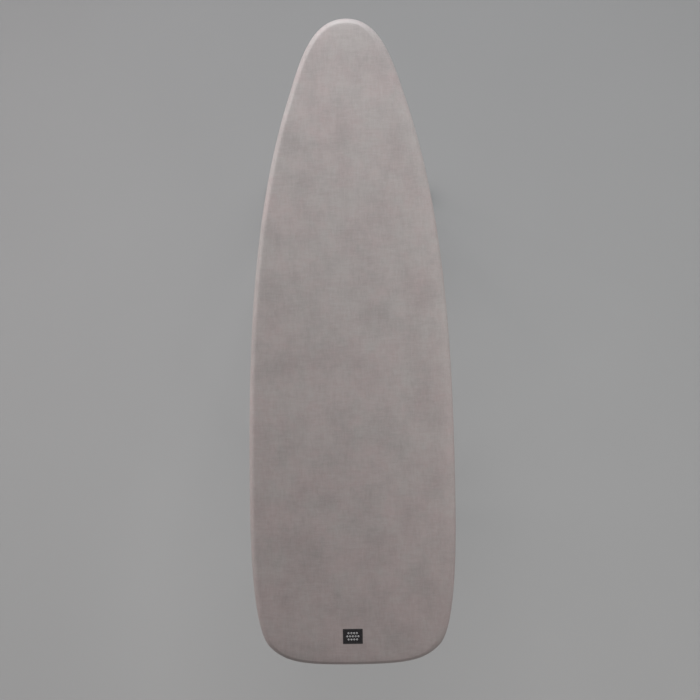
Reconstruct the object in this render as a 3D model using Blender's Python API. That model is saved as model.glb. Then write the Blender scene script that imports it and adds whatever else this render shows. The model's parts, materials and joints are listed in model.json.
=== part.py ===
"""Folding ironing board: a covered mesh-top board on a scissor stand with a rack-and-lever height lock.

Metres, +Z up. The origin is on the floor under the middle of the board and the nose points along +Y.
The stand is open at its highest setting. Each leg is modelled upright under an empty on its joint's
axis, and the empty leans it.
"""
import bmesh
import bpy
from math import asin, cos, pi, radians, sin
from mathutils import Vector
from mathutils.geometry import interpolate_bezier

# ---------------------------------------------------------------- driving dimensions

BOARD_LENGTH = 1.350          # over the cover
BOARD_HEIGHT = 0.930          # floor to ironing surface
GAP = 0.0003                  # between two pieces that touch

# Half outline of the board, from the nose to the square end: half width, distance from the nose,
# heading in degrees (0 runs straight back, positive spreads), reach of the curve before and after.
OUTLINE = (
    (0.0000, 0.000, 90, 0.000, 0.074),
    (0.1230, 0.168, 18, 0.083, 0.257),
    (0.2150, 1.020, 0, 0.321, 0.129),
    (0.1775, 1.311, -44, 0.043, 0.046),
    (0.0000, 1.350, -90, 0.109, 0.000),
)
SPAN_STEPS = (8, 9, 7, 8)

# Layers of the board, from the ironing surface down
COVER_THICKNESS = 0.0015
EDGE_ROUND = 0.007            # outer radius of the cover's top edge
PAD_THICKNESS = 0.0057
TRAY_THICKNESS = 0.0008
RIM_HEIGHT = 0.0187
RIM_WIDTH = 0.012
RIM_WALL = 0.0012
RIM_INSET = 0.004             # cover's edge to rim's outer face
HEM_INSET = 0.034             # cover's edge to the drawcord
HEM_CORD_RADIUS = 0.002

PAD_TOP = BOARD_HEIGHT - COVER_THICKNESS - GAP
TRAY_TOP = PAD_TOP - PAD_THICKNESS - GAP
RIM_TOP = TRAY_TOP - TRAY_THICKNESS - GAP
RIM_BOTTOM = RIM_TOP - RIM_HEIGHT
FLANGE_BOTTOM = RIM_BOTTOM - GAP - COVER_THICKNESS

LABEL_SIZE = (0.0415, 0.0315)
LABEL_THICKNESS = 0.0007
LABEL_FROM_END = 0.060        # square end to the label's middle
LABEL_ASIDE = -0.004          # label's middle from the board's centreline
LABEL_CORNER = 0.0012

BRACE_Y = {"front": 0.190, "middle": -0.190, "rear": -0.595}
BRACE_WIDTH = 0.024
BRACE_HEIGHT = 0.012
BRACE_WALL = 0.0015
BRACE_BOTTOM = RIM_TOP - BRACE_HEIGHT

# Scissor stand. Both legs have one length, and cross where their upper arms are equal, so the board
# stays level.
PIVOT = Vector((0, 0.225, 0.870))
LEG_LENGTH = 1.0556           # pivot axis to foot bar axis
UPPER_ARM = 0.400             # pivot axis to crossing axis
FOOT_BAR_HEIGHT = 0.016       # floor to foot bar axis
FOLDED_ANGLE = radians(1.5)
LEG_ANGLE = asin((PIVOT.z - FOOT_BAR_HEIGHT) / LEG_LENGTH)
LEG_LEAN = pi / 2 - LEG_ANGLE
CROSSING = PIVOT - UPPER_ARM * Vector((0, cos(LEG_ANGLE), sin(LEG_ANGLE)))
SLIDE_OPEN = 2 * UPPER_ARM * cos(LEG_ANGLE)       # pivot to slide bar, stand open
SLIDE_FOLDED = 2 * UPPER_ARM * cos(FOLDED_ANGLE)  # and stand folded

REAR_LEG_X = 0.130            # middle of a leg tube from the centreline
FRONT_LEG_X = 0.155
TUBE_RADIUS = 0.011
TUBE_WALL = 0.0010
TUBE_END = 0.014              # tube past its top axis
FOOT_BAR_RADIUS = 0.0125
FOOT_BAR_HALF = {"rear": 0.195, "front": 0.190}
LEG_BRACE_RADIUS = 0.008
LEG_BRACE_AT = 0.900          # top axis of the leg to its brace
FOOT_CAP_RADIUS = 0.018
FOOT_CAP_DEPTH = 0.026
FOOT_CAP_WALL = 0.004

AXLE_RADIUS = 0.005
AXLE_HALF = 0.148
BUSH_RADIUS = 0.0065
BUSH_FLANGE = (0.0085, 0.0010)   # radius, thickness
PIN_RADIUS = 0.004
PIN_HEAD = 0.0025
PIN_HEAD_RADIUS = 0.0070
WASHER_RADIUS = 0.008
SLIDE_BAR_RADIUS = 0.005
SLIDE_BAR_HALF = 0.1722
BAR_EASE = 0.0008             # chamfer on the ends of the axle and the slide bar
PUSH_CAP_RADIUS = 0.008
PUSH_CAP_WALL = 0.0012
PUSH_CAP_DEPTH = 0.0065
GLIDE_RADIUS = 0.009
GLIDE_LENGTH = 0.0044

# Rails under the board, with the rack that sets the height
RAIL_X = 0.060
RAIL_THICKNESS = 0.0016
RAIL_FRONT = 0.025            # past the pivot
RAIL_REAR = 0.837             # behind the pivot
RAIL_DROP = 0.014             # below the pivot
RAIL_TOP = BRACE_BOTTOM - GAP
RAIL_FLANGE = 0.016
SLOT_HALF = SLIDE_BAR_RADIUS + 0.0005
SLOT_PLAY = 0.0004            # slot past the slide bar's two end places
NOTCHES = 7
NOTCH_PITCH = 0.040
NOTCH_DEPTH = 0.004
NOTCH_REACH = (0.006, -0.004, -0.010)   # notch's front, back and the foot of its ramp, from its middle
RIVET_X = 0.068
RIVET_HOLE = 0.0025

# Release lever: a shaft along the right rail, a keeper strip under the slide bar, and an arm
LEVER_AXIS = Vector((0.085, -0.400, 0.860))
LEVER_RADIUS = 0.004
LEVER_REAR = -0.200           # shaft's end from the middle of the lever axis
ARM_Y = 0.210                 # arm from the middle of the lever axis
ARM_RISE = 0.017
ARM_RUN = (0.028, 0.083, 0.094)   # where the arm is up, starts down and is down to the grip
BEND_RADIUS = 0.005
EAR_Y = {"front": -0.225, "rear": -0.592}
EAR_THICKNESS = 0.002
EAR_RADIUS = 0.008
EAR_ROOT = (-0.010, 0.014)    # ear's foot on the rail, from the lever axis
CLIP_RADIUS = 0.0065
CLIP_HALF = 0.001
CLIP_IN = 0.0035              # clip from the shaft's end
KEEPER = ((-0.019, -0.0035), (-0.180, 0.165), (0.0025, 0.0045))
GRIP_ROWS = ((0.0965, 0.0060, 0.0060), (0.1000, 0.0085, 0.0066), (0.1080, 0.0108, 0.0070),
             (0.1180, 0.0115, 0.0070), (0.1245, 0.0098, 0.0062), (0.1275, 0.0060, 0.0040))
GRIP_DROP = 0.009             # arm's level down to the grip's
GRIP_END = 0.0035             # arm's end short of the grip's

SPRING_X = 0.125
SPRING_RADIUS = 0.0045
SPRING_WIRE = 0.0006
SPRING_TURNS = 6

ROUND_STEPS = 24
SMALL_STEPS = 12
SIDES = (("left", -1), ("right", 1))
ALONG_X = (0, pi / 2, 0)
ALONG_Y = (pi / 2, 0, 0)

# Linear colour, metallic, roughness
FINISHES = {
    "cover": ((0.335, 0.300, 0.290), 0.0, 0.55),
    "felt": ((0.60, 0.58, 0.54), 0.0, 0.95),
    "cord": ((0.62, 0.60, 0.57), 0.0, 0.85),
    "label": ((0.012, 0.012, 0.013), 0.0, 0.70),
    "frame_paint": ((0.46, 0.47, 0.48), 0.2, 0.42),
    "leg_paint": ((0.52, 0.53, 0.54), 0.2, 0.38),
    "zinc": ((0.60, 0.61, 0.62), 1.0, 0.32),
    "spring_steel": ((0.42, 0.42, 0.43), 1.0, 0.35),
    "plastic": ((0.035, 0.036, 0.038), 0.0, 0.48),
}


# ---------------------------------------------------------------- helpers

def clear_scene():
    for old in list(bpy.data.objects):
        bpy.data.objects.remove(old, do_unlink=True)


def material(name, finish):
    """A Principled material of the piece's own."""
    colour, metallic, roughness = FINISHES[finish]
    made = bpy.data.materials.new(name)
    made.use_nodes = True
    shader = made.node_tree.nodes["Principled BSDF"]
    shader.inputs["Base Color"].default_value = (*colour, 1)
    shader.inputs["Metallic"].default_value = metallic
    shader.inputs["Roughness"].default_value = roughness
    return made


def link(name, data, parent, location, rotation):
    made = bpy.data.objects.new(name, data)
    bpy.context.scene.collection.objects.link(made)
    made.parent = parent
    made.location = location
    made.rotation_euler = rotation
    return made


def piece(name, mesh, finish, parent=None, location=(0, 0, 0), rotation=(0, 0, 0)):
    """A named object from a bmesh, smooth except at its edges."""
    data = bpy.data.meshes.new(name)
    mesh.to_mesh(data)
    mesh.free()
    data.shade_smooth()
    data.set_sharp_from_angle(angle=radians(35))
    data.materials.append(material(name, finish))
    return link(name, data, parent, location, rotation)


def rod(name, points, radius, finish, sides, parent=None, location=(0, 0, 0), cyclic=False):
    """A round bar along a list of points, as a bevelled curve."""
    data = bpy.data.curves.new(name, "CURVE")
    data.dimensions = "3D"
    data.fill_mode = "FULL"
    data.bevel_depth = radius
    data.bevel_resolution = (sides - 4) // 2
    data.use_fill_caps = True
    data.render_resolution_u = 0
    spline = data.splines.new("POLY")
    spline.points.add(len(points) - 1)
    for point, place in zip(spline.points, points):
        point.co = (*place, 1)
    spline.use_cyclic_u = cyclic
    spline.use_smooth = True
    data.materials.append(material(name, finish))
    return link(name, data, parent, location, (0, 0, 0))


def cut(target, mesh, parent=None, location=(0, 0, 0), rotation=(0, 0, 0)):
    """Take a bmesh's shape out of a piece."""
    data = bpy.data.meshes.new(f"{target.name}_cutter")
    mesh.to_mesh(data)
    mesh.free()
    cutter = link(data.name, data, parent, location, rotation)
    cutter.hide_render = True
    cutter.display_type = "WIRE"
    boolean = target.modifiers.new("cut", "BOOLEAN")
    boolean.operation = "DIFFERENCE"
    boolean.object = cutter


def turned(profile, joined=False, steps=ROUND_STEPS):
    """A (radius, height) profile turned about Z. A joined profile makes a ring."""
    mesh = bmesh.new()
    points = [mesh.verts.new((radius, 0, height)) for radius, height in profile]
    pairs = list(zip(points, points[1:]))
    if joined:
        pairs.append((points[-1], points[0]))
    edges = [mesh.edges.new(pair) for pair in pairs]
    bmesh.ops.spin(mesh, geom=points + edges, axis=(0, 0, 1), angle=2 * pi, steps=steps, use_merge=True)
    bmesh.ops.remove_doubles(mesh, verts=mesh.verts, dist=1e-6)
    bmesh.ops.recalc_face_normals(mesh, faces=mesh.faces)
    return mesh


def cylinder(radius, low, high, steps=ROUND_STEPS):
    return turned(((0, low), (radius, low), (radius, high), (0, high)), steps=steps)


def ring(inner, outer, low, high, steps=ROUND_STEPS):
    return turned(((inner, low), (outer, low), (outer, high), (inner, high)), joined=True, steps=steps)


def end_cap(bore, outer, mouth, end, wall, steps=ROUND_STEPS):
    """A cup over a bar's end: its mouth at one height and its rounded end at the other."""
    way = 1 if end > mouth else -1
    soft = 0.3 * (outer - bore) + 0.0008
    return turned((
        (0, end), (outer - soft, end), (outer, end - way * soft), (outer, mouth),
        (bore, mouth), (bore, end - way * wall), (0, end - way * wall),
    ), steps=steps)


def prism(points, depth):
    """A flat outline pushed along a vector."""
    mesh = bmesh.new()
    face = mesh.faces.new([mesh.verts.new(point) for point in points])
    grown = bmesh.ops.extrude_face_region(mesh, geom=[face], use_keep_orig=True)
    moved = [part for part in grown["geom"] if isinstance(part, bmesh.types.BMVert)]
    bmesh.ops.translate(mesh, verts=moved, vec=depth)
    bmesh.ops.recalc_face_normals(mesh, faces=mesh.faces)
    return mesh


def lofted(loops, joined=False):
    """A skin through a row of equal loops. Its ends are joined, or each is closed by a face."""
    mesh = bmesh.new()
    rows = [[mesh.verts.new(point) for point in loop] for loop in loops]
    if joined:
        rows.append(rows[0])
    else:
        mesh.faces.new(rows[0])
        mesh.faces.new(rows[-1])
    for upper, lower in zip(rows, rows[1:]):
        for k in range(len(upper)):
            mesh.faces.new((upper[k - 1], upper[k], lower[k], lower[k - 1]))
    bmesh.ops.recalc_face_normals(mesh, faces=mesh.faces)
    return mesh


def box(x_range, y_range, z_range):
    (x0, x1), (y0, y1), (z0, z1) = x_range, y_range, z_range
    return prism([(x0, y0, z0), (x1, y0, z0), (x1, y1, z0), (x0, y1, z0)], (0, 0, z1 - z0))


def rounded_rectangle(width, depth, radius, height, steps=3):
    """Corner arcs of a rectangle about the origin, anticlockwise."""
    loop = []
    for quarter, (sx, sy) in enumerate(((1, 1), (-1, 1), (-1, -1), (1, -1))):
        for step in range(steps + 1):
            angle = (quarter + step / steps) * pi / 2
            loop.append((sx * (width / 2 - radius) + radius * cos(angle),
                         sy * (depth / 2 - radius) + radius * sin(angle), height))
    return loop


def rounded_path(corners, radius, steps=4):
    """A path through corner points, each inner corner eased by a quadratic arc."""
    corners = [Vector(corner) for corner in corners]
    path = [corners[0]]
    for before, corner, after in zip(corners, corners[1:], corners[2:]):
        start = corner + radius * (before - corner).normalized()
        end = corner + radius * (after - corner).normalized()
        for step in range(steps + 1):
            t = step / steps
            path.append((1 - t) ** 2 * start + 2 * t * (1 - t) * corner + t ** 2 * end)
    path.append(corners[-1])
    return path


# ---------------------------------------------------------------- the board's outline

def direction(heading):
    return Vector((sin(radians(heading)), -cos(radians(heading)), 0))


def outline_points():
    """The whole outline, clockwise from the nose as seen from above."""
    right = []
    for first, second, steps in zip(OUTLINE, OUTLINE[1:], SPAN_STEPS):
        start = Vector((first[0], BOARD_LENGTH / 2 - first[1], 0))
        end = Vector((second[0], BOARD_LENGTH / 2 - second[1], 0))
        leave = start + first[4] * direction(first[2])
        arrive = end - second[3] * direction(second[2])
        right += interpolate_bezier(start, leave, arrive, end, steps + 1)[:-1]
    right.append(end)
    left = [Vector((-point.x, point.y, 0)) for point in reversed(right[1:-1])]
    return right + left


EDGE = outline_points()


def inset(distance, height):
    """The board's outline moved inwards, at a height."""
    loop = []
    for k, here in enumerate(EDGE):
        before = EDGE[k - 1]
        after = EDGE[(k + 1) % len(EDGE)]
        along = ((here - before).normalized() + (after - here).normalized()).normalized()
        loop.append(Vector((here.x + distance * along.y, here.y - distance * along.x, height)))
    return loop


def half_width(y, distance):
    """Half width of the inset outline at a place along the board."""
    right = inset(distance, 0)[:len(EDGE) // 2 + 1]
    for upper, lower in zip(right, right[1:]):
        if lower.y <= y <= upper.y:
            share = (upper.y - y) / (upper.y - lower.y)
            return upper.x + share * (lower.x - upper.x)
    return 0.0


def section(points):
    """Loops round the board at a list of (inset, height) places."""
    return [inset(distance, height) for distance, height in points]


# ---------------------------------------------------------------- the board

def make_rim():
    """Rim all round the board, rolled from sheet: a channel with eased corners, open inwards."""
    ease = 0.0025
    outer = RIM_INSET
    inner = RIM_INSET + RIM_WIDTH
    piece("board_rim", lofted(section((
        (inner, RIM_BOTTOM), (outer + ease, RIM_BOTTOM), (outer, RIM_BOTTOM + ease),
        (outer, RIM_TOP - ease), (outer + ease, RIM_TOP), (inner, RIM_TOP),
        (inner, RIM_TOP - RIM_WALL), (outer + ease, RIM_TOP - RIM_WALL), (outer + RIM_WALL, RIM_TOP - ease),
        (outer + RIM_WALL, RIM_BOTTOM + ease), (outer + ease, RIM_BOTTOM + RIM_WALL),
        (inner, RIM_BOTTOM + RIM_WALL),
    )), joined=True), "frame_paint")


def make_tray():
    bottom = RIM_TOP + GAP
    piece("mesh_top", lofted(section(((RIM_INSET, TRAY_TOP), (RIM_INSET, bottom)))), "frame_paint")


def edge_arc(radius, inset_centre, height_centre):
    """Quarter round from a top face to a side wall, as (inset, height) places."""
    return [(inset_centre - radius * sin(radians(angle)), height_centre + radius * cos(radians(angle)))
            for angle in (0, 30, 60, 90)]


def make_pad():
    radius = EDGE_ROUND - COVER_THICKNESS - GAP
    arc = edge_arc(radius, EDGE_ROUND, BOARD_HEIGHT - EDGE_ROUND)
    piece("ironing_pad", lofted(section(arc + [(arc[-1][0], TRAY_TOP + GAP)])), "felt")


def make_cover():
    """Fitted cover: top, rounded edge, side wall, and a flange turned in under the rim."""
    centre = BOARD_HEIGHT - EDGE_ROUND
    flange_end = HEM_INSET - HEM_CORD_RADIUS - 0.0005
    flange_top = RIM_BOTTOM - GAP
    outer = edge_arc(EDGE_ROUND, EDGE_ROUND, centre) + [
        (0.0016, FLANGE_BOTTOM + 0.0058), (0.0026, FLANGE_BOTTOM + 0.0023), (0.0055, FLANGE_BOTTOM),
        (flange_end, FLANGE_BOTTOM),
    ]
    inner = edge_arc(EDGE_ROUND - COVER_THICKNESS, EDGE_ROUND, centre) + [
        (0.0031, flange_top + 0.0046), (0.0038, flange_top + 0.0018), (0.0060, flange_top),
        (flange_end, flange_top),
    ]
    cover = piece("cover", lofted(section(outer + inner[::-1])), "cover")
    floor = BOARD_HEIGHT - LABEL_THICKNESS - GAP
    pocket = [rounded_rectangle(LABEL_SIZE[0] + 2 * GAP, LABEL_SIZE[1] + 2 * GAP, LABEL_CORNER + GAP, height)
              for height in (floor, BOARD_HEIGHT + COVER_THICKNESS)]
    cut(cover, lofted(pocket), location=(LABEL_ASIDE, LABEL_FROM_END - BOARD_LENGTH / 2, 0))


def make_label():
    """Sewn label, flush in the cover."""
    loops = [rounded_rectangle(*LABEL_SIZE, LABEL_CORNER, height)
             for height in (BOARD_HEIGHT - LABEL_THICKNESS, BOARD_HEIGHT)]
    piece("cover_label", lofted(loops), "label",
          location=(LABEL_ASIDE, LABEL_FROM_END - BOARD_LENGTH / 2, 0))


def make_hem_cord():
    """Drawcord round the hem that holds the cover on."""
    rod("hem_cord", inset(HEM_INSET, FLANGE_BOTTOM + COVER_THICKNESS / 2), HEM_CORD_RADIUS, "cord", 6,
        cyclic=True)


def make_braces():
    """Open channels across the board, cut to the rim and drilled for the rails."""
    half = BRACE_WIDTH / 2
    floor = BRACE_BOTTOM + BRACE_WALL
    for place, y in BRACE_Y.items():
        reach = min(half_width(y + side * half, RIM_INSET + RIM_WIDTH) for side in (-1, 1)) - 2 * GAP
        channel = [(-half, BRACE_BOTTOM), (half, BRACE_BOTTOM), (half, RIM_TOP),
                   (half - BRACE_WALL, RIM_TOP), (half - BRACE_WALL, floor),
                   (BRACE_WALL - half, floor), (BRACE_WALL - half, RIM_TOP), (-half, RIM_TOP)]
        brace = piece(f"brace_{place}", prism([(-reach, dy, z) for dy, z in channel], (2 * reach, 0, 0)),
                      "frame_paint", location=(0, y, 0))
        for _, side in SIDES:
            cut(brace, cylinder(RIVET_HOLE, BRACE_BOTTOM - 0.002, floor + 0.002, SMALL_STEPS),
                location=(side * RIVET_X, y, 0))


def slot_outline():
    """Slot for the slide bar, from the pivot: round ends and rack notches along the upper edge."""
    front = SLOT_PLAY - SLIDE_OPEN
    rear = -SLIDE_FOLDED - SLOT_PLAY
    points = []
    for step in range(7):
        angle = pi / 2 + step * pi / 6
        points.append((rear + SLOT_HALF * cos(angle), SLOT_HALF * sin(angle)))
    for step in range(7):
        angle = -pi / 2 + step * pi / 6
        points.append((front + SLOT_HALF * cos(angle), SLOT_HALF * sin(angle)))
    for notch in range(1, NOTCHES):
        middle = -SLIDE_OPEN - notch * NOTCH_PITCH
        face, back, ramp = (middle + reach for reach in NOTCH_REACH)
        points += [(face, SLOT_HALF), (face, SLOT_HALF + NOTCH_DEPTH), (back, SLOT_HALF + NOTCH_DEPTH),
                   (ramp, SLOT_HALF)]
    return points


def make_rails():
    """Rails that carry the axle and the slide bar, with a flange riveted to the braces."""
    top = RAIL_TOP - PIVOT.z
    half = RAIL_THICKNESS / 2
    for name, side in SIDES:
        web = side * half
        lip = side * (RAIL_FLANGE - half)
        angle_section = [(-web, -RAIL_DROP), (web, -RAIL_DROP), (web, top - RAIL_THICKNESS),
                         (lip, top - RAIL_THICKNESS), (lip, top), (-web, top)]
        place = (side * RAIL_X, PIVOT.y, PIVOT.z)
        rail = piece(f"rail_{name}",
                     prism([(x, RAIL_FRONT, z) for x, z in angle_section], (0, -RAIL_FRONT - RAIL_REAR, 0)),
                     "frame_paint", location=place)
        cut(rail, prism([(-2 * half, y, z) for y, z in slot_outline()], (4 * half, 0, 0)), location=place)
        cut(rail, cylinder(AXLE_RADIUS + GAP, -2 * half, 2 * half), location=place, rotation=ALONG_X)
        for y in BRACE_Y.values():
            cut(rail, cylinder(RIVET_HOLE, -2 * RAIL_THICKNESS, RAIL_THICKNESS, SMALL_STEPS),
                location=(side * RIVET_X, y, RAIL_TOP))


def make_rivets():
    """Rivets up through the rails' flanges and the braces."""
    under = RAIL_TOP - RAIL_THICKNESS - GAP
    over = BRACE_BOTTOM + BRACE_WALL + GAP
    profile = ((0, under - 0.0021), (0.0030, under - 0.0017), (0.0045, under - 0.0006), (0.0045, under),
               (0.0022, under), (0.0022, over), (0.0035, over), (0.0032, over + 0.0012), (0, over + 0.0012))
    for place, y in BRACE_Y.items():
        for name, side in SIDES:
            piece(f"rail_rivet_{place}_{name}", turned(profile, steps=SMALL_STEPS), "zinc",
                  location=(side * RIVET_X, y, 0))


def make_bar(name, radius, half, cap_name, frame=None, place=(0, 0, 0)):
    """A round bar along X with chamfered ends, and a push cap over each."""
    piece(name, turned(((0, -half), (radius - BAR_EASE, -half), (radius, BAR_EASE - half),
                        (radius, half - BAR_EASE), (radius - BAR_EASE, half), (0, half))),
          "zinc", frame, place, ALONG_X)
    end = half + GAP + PUSH_CAP_WALL
    for side_name, side in SIDES:
        piece(f"{cap_name}_{side_name}",
              end_cap(radius + GAP, PUSH_CAP_RADIUS, side * (end - PUSH_CAP_DEPTH), side * end, PUSH_CAP_WALL),
              "zinc", frame, place, ALONG_X)


# ---------------------------------------------------------------- the stand

def joint_empty(name, location, lean=0.0):
    """The frame of a moving body, on its joint's axis."""
    return link(name, None, None, location, (lean, 0, 0))


def make_leg(leg, frame, lean, x, top, cross, foot):
    """Two tubes and a foot bar. Heights run along the leg: its top axis, the crossing and the foot bar."""
    top_bore = BUSH_RADIUS if leg == "rear" else SLIDE_BAR_RADIUS
    bar_half = FOOT_BAR_HALF[leg]
    for name, side in SIDES:
        place = (side * x, 0, 0)
        tube = piece(f"{leg}_leg_tube_{name}",
                     ring(TUBE_RADIUS - TUBE_WALL, TUBE_RADIUS, foot, top + TUBE_END),
                     "leg_paint", frame, place)
        for bore, height in ((top_bore, top), (PIN_RADIUS, cross), (FOOT_BAR_RADIUS, foot)):
            cut(tube, cylinder(bore + GAP, -2 * TUBE_RADIUS, 2 * TUBE_RADIUS), frame,
                (side * x, 0, height), ALONG_X)
        make_plug(f"{leg}_leg_plug_{name}", frame, (side * x, 0, top + TUBE_END))
        make_foot_cap(f"{leg}_foot_cap_{name}", frame, (0, 0, foot), lean, side, bar_half)
    piece(f"{leg}_foot_bar",
          ring(FOOT_BAR_RADIUS - TUBE_WALL, FOOT_BAR_RADIUS, -bar_half, bar_half),
          "leg_paint", frame, (0, 0, foot), ALONG_X)
    brace_half = x - TUBE_RADIUS - GAP
    piece(f"{leg}_leg_brace",
          ring(LEG_BRACE_RADIUS - TUBE_WALL, LEG_BRACE_RADIUS, -brace_half, brace_half, SMALL_STEPS),
          "leg_paint", frame, (0, 0, top - LEG_BRACE_AT), ALONG_X)


def make_plug(name, frame, place):
    """Domed plug in a tube's open end."""
    stem = TUBE_RADIUS - TUBE_WALL - GAP
    piece(name, turned(((0, -0.0030), (stem, -0.0030), (stem, GAP), (TUBE_RADIUS, GAP),
                        (TUBE_RADIUS, 0.0015), (0.6 * TUBE_RADIUS, 0.0030), (0, 0.0034))),
          "plastic", frame, place)


def make_foot_cap(name, frame, place, lean, side, bar_half):
    """Cup over the foot bar's end, cut flat where it stands on the floor."""
    mouth = side * (bar_half + GAP + FOOT_CAP_WALL - FOOT_CAP_DEPTH)
    end = side * (bar_half + GAP + FOOT_CAP_WALL)
    cap = piece(name, end_cap(FOOT_BAR_RADIUS + GAP, FOOT_CAP_RADIUS, mouth, end, FOOT_CAP_WALL),
                "plastic", frame, place, ALONG_X)
    reach = 2 * FOOT_CAP_RADIUS
    x_range = sorted((mouth - side * reach, end + side * reach))
    cut(cap, box(x_range, (-reach, reach), (-reach, -FOOT_BAR_HEIGHT)), frame, place, (-lean, 0, 0))


def make_rear_leg(frame):
    """Rear leg, from the pivot at its top, with its bushes and the pins of the crossing."""
    make_leg("rear", frame, -LEG_LEAN, REAR_LEG_X, 0, -UPPER_ARM, -LEG_LENGTH)
    inner = AXLE_RADIUS + GAP
    face = TUBE_RADIUS + GAP
    pin_low = REAR_LEG_X - face
    pin_high = FRONT_LEG_X + face
    for name, side in SIDES:
        flange_radius, flange = BUSH_FLANGE
        end = face + 2 * GAP
        piece(f"rear_pivot_bush_{name}", turned((
            (inner, -side * (face + flange)), (flange_radius, -side * (face + flange)),
            (flange_radius, -side * face), (BUSH_RADIUS, -side * face), (BUSH_RADIUS, side * end),
            (inner, side * end),
        ), joined=True), "plastic", frame, (side * REAR_LEG_X, 0, 0), ALONG_X)
        crown, rim = 0.8 * PIN_HEAD_RADIUS, PIN_HEAD / 2
        profile = ((0, pin_low - PIN_HEAD), (crown, pin_low - PIN_HEAD), (PIN_HEAD_RADIUS, pin_low - rim),
                   (PIN_HEAD_RADIUS, pin_low), (PIN_RADIUS, pin_low), (PIN_RADIUS, pin_high),
                   (PIN_HEAD_RADIUS, pin_high), (PIN_HEAD_RADIUS, pin_high + rim),
                   (crown, pin_high + PIN_HEAD), (0, pin_high + PIN_HEAD))
        piece(f"cross_pin_{name}", turned([(radius, side * x) for radius, x in profile]), "zinc",
              frame, (0, 0, -UPPER_ARM), ALONG_X)
        washer = sorted((side * (REAR_LEG_X + face), side * (FRONT_LEG_X - face)))
        piece(f"cross_washer_{name}", ring(PIN_RADIUS + GAP, WASHER_RADIUS, *washer), "plastic",
              frame, (0, 0, -UPPER_ARM), ALONG_X)


def make_front_leg(frame):
    """Front leg, from the crossing, with the slide bar at its top."""
    make_leg("front", frame, LEG_LEAN, FRONT_LEG_X, UPPER_ARM, 0, UPPER_ARM - LEG_LENGTH)
    top = (0, 0, UPPER_ARM)
    make_bar("slide_bar", SLIDE_BAR_RADIUS, SLIDE_BAR_HALF, "slide_cap", frame, top)
    rail_face = RAIL_X - RAIL_THICKNESS / 2 - GAP
    for name, side in SIDES:
        glide = sorted((side * (rail_face - GLIDE_LENGTH), side * rail_face))
        piece(f"slide_glide_{name}", ring(SLIDE_BAR_RADIUS + GAP, GLIDE_RADIUS, *glide), "plastic",
              frame, top, ALONG_X)


# ---------------------------------------------------------------- the release lever

def make_lever(frame):
    """Shaft with its arm, the keeper strip welded along it, the grip and the shaft's clip."""
    arm_end = GRIP_ROWS[-1][0] - GRIP_END
    up, across, down = ARM_RUN
    grip_level = ARM_RISE - GRIP_DROP
    path = rounded_path((
        (0, LEVER_REAR, 0), (0, ARM_Y, 0), (up, ARM_Y, ARM_RISE), (across, ARM_Y, ARM_RISE),
        (down, ARM_Y, grip_level), (arm_end, ARM_Y, grip_level),
    ), BEND_RADIUS)
    rod("lever_shaft", path, LEVER_RADIUS, "zinc", SMALL_STEPS, frame)
    piece("keeper_strip", box(*KEEPER), "zinc", frame)
    loops = [[(x, wide * cos(turn * pi / 10), tall * sin(turn * pi / 10)) for turn in range(20)]
             for x, wide, tall in GRIP_ROWS]
    grip_place = (0, ARM_Y, grip_level)
    grip = piece("lever_grip", lofted(loops), "plastic", frame, grip_place)
    cut(grip, cylinder(LEVER_RADIUS + GAP, GRIP_ROWS[0][0] - LEVER_RADIUS, arm_end + GAP), frame, grip_place,
        ALONG_X)
    piece("lever_clip", ring(LEVER_RADIUS + GAP, CLIP_RADIUS, -CLIP_HALF, CLIP_HALF), "spring_steel", frame,
          (0, LEVER_REAR + CLIP_IN, 0), ALONG_Y)


def make_ears():
    """Ears on the right rail that the lever's shaft turns in."""
    foot = RAIL_X + RAIL_THICKNESS / 2 + GAP
    for name, y in EAR_Y.items():
        outline = [(foot, LEVER_AXIS.z + EAR_ROOT[0])]
        for step in range(9):
            angle = -pi / 2 + step * pi / 8
            outline.append((LEVER_AXIS.x + EAR_RADIUS * cos(angle), LEVER_AXIS.z + EAR_RADIUS * sin(angle)))
        outline.append((foot, LEVER_AXIS.z + EAR_ROOT[1]))
        ear = piece(f"lever_ear_{name}",
                    prism([(x, -EAR_THICKNESS / 2, z) for x, z in outline], (0, EAR_THICKNESS, 0)),
                    "frame_paint", location=(0, y, 0))
        cut(ear, cylinder(LEVER_RADIUS + GAP, -EAR_THICKNESS, EAR_THICKNESS),
            location=(LEVER_AXIS.x, y, LEVER_AXIS.z), rotation=ALONG_Y)


def make_spring():
    """Compression spring between the lever's arm and the middle brace."""
    low = LEVER_AXIS.z + ARM_RISE + LEVER_RADIUS + GAP + SPRING_WIRE
    high = BRACE_BOTTOM - GAP - SPRING_WIRE
    steps = 10 * SPRING_TURNS
    points = []
    for step in range(steps + 1):
        angle = step * pi / 5
        points.append((SPRING_RADIUS * cos(angle), SPRING_RADIUS * sin(angle),
                       low + (high - low) * step / steps))
    rod("lever_spring", points, SPRING_WIRE, "spring_steel", 6,
        location=(SPRING_X, LEVER_AXIS.y + ARM_Y, 0))


# ---------------------------------------------------------------- build

def build():
    clear_scene()
    make_rim()
    make_tray()
    make_pad()
    make_cover()
    make_label()
    make_hem_cord()
    make_braces()
    make_rails()
    make_rivets()
    make_bar("pivot_axle", AXLE_RADIUS, AXLE_HALF, "axle_cap", place=PIVOT)
    make_ears()
    make_spring()
    make_rear_leg(joint_empty("rear_leg_joint", PIVOT, -LEG_LEAN))
    make_front_leg(joint_empty("front_leg_joint", CROSSING, LEG_LEAN))
    make_lever(joint_empty("release_lever_joint", LEVER_AXIS))


build()
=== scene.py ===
"""Looks of the folding ironing board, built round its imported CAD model.

Metres, in the CAD model's frame: +Z up, the nose towards +Y, the floor at z = 0.
"""
import json
import math

import bmesh
import bpy
import numpy as np
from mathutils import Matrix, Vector, noise


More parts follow.
